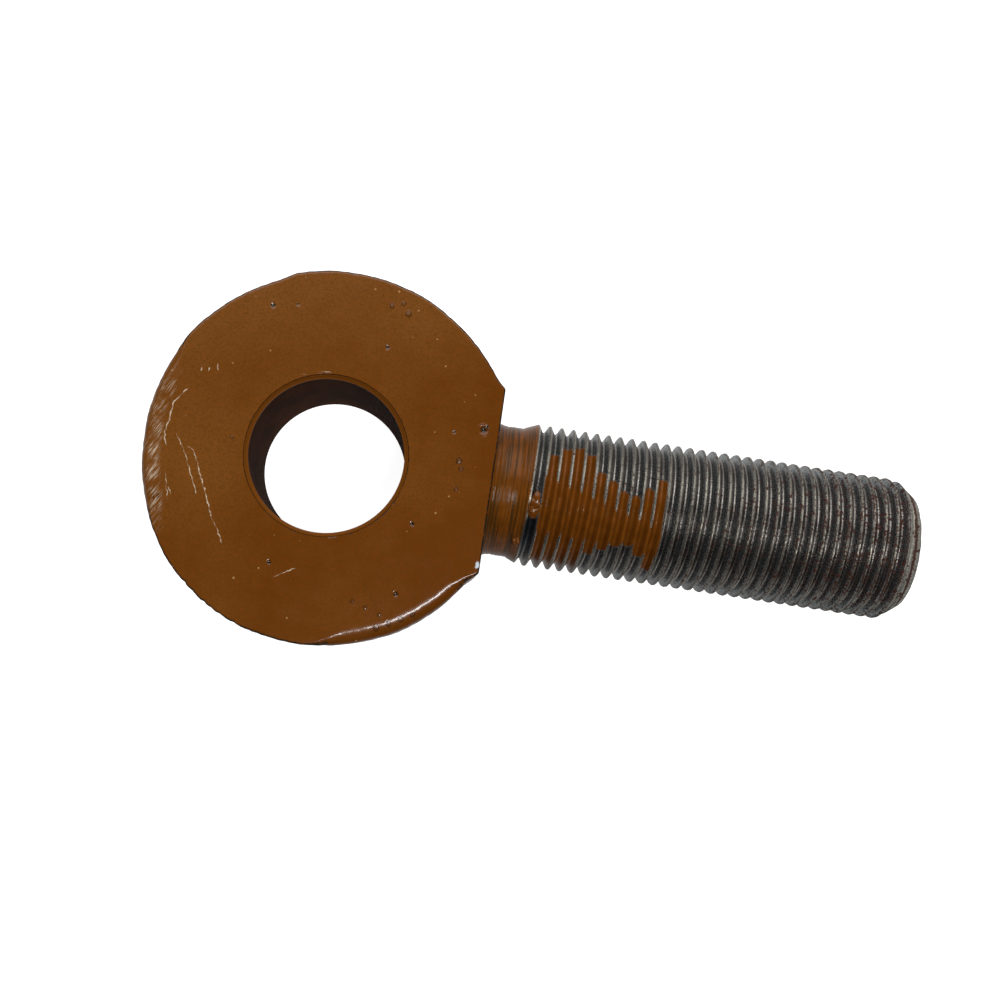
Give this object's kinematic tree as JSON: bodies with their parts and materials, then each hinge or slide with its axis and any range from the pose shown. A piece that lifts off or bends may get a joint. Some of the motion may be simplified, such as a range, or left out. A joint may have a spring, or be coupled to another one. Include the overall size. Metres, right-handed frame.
{
  "type": "rod end",
  "caption": "Threaded rod eye: thick round eye with a pressed-in plain bush, flat shoulder, undercut neck and left-hand threaded shank with a chamfered end.",
  "frame": {"origin": "under the middle of the overall length, on the face of the eye that the part lies on", "axes": "+X along the shank from the eye towards the free threaded end, +Z along the bore of the eye, +Y across the eye"},
  "size_m": [0.1904, 0.09, 0.036],
  "materials": {
    "painted_steel": "thick glossy brown-orange enamel over forged steel, with runs, pits and scratches",
    "bush_steel": "dark oiled bearing liner, with overspray of the enamel at its mouth",
    "bare_steel": "machined steel thread, bare and oily, with enamel in the first grooves and rust specks"
  },
  "bodies": {
    "root": {"rod_eye": "painted_steel", "bore_bush": "bush_steel"}
  },
  "joints": []
}
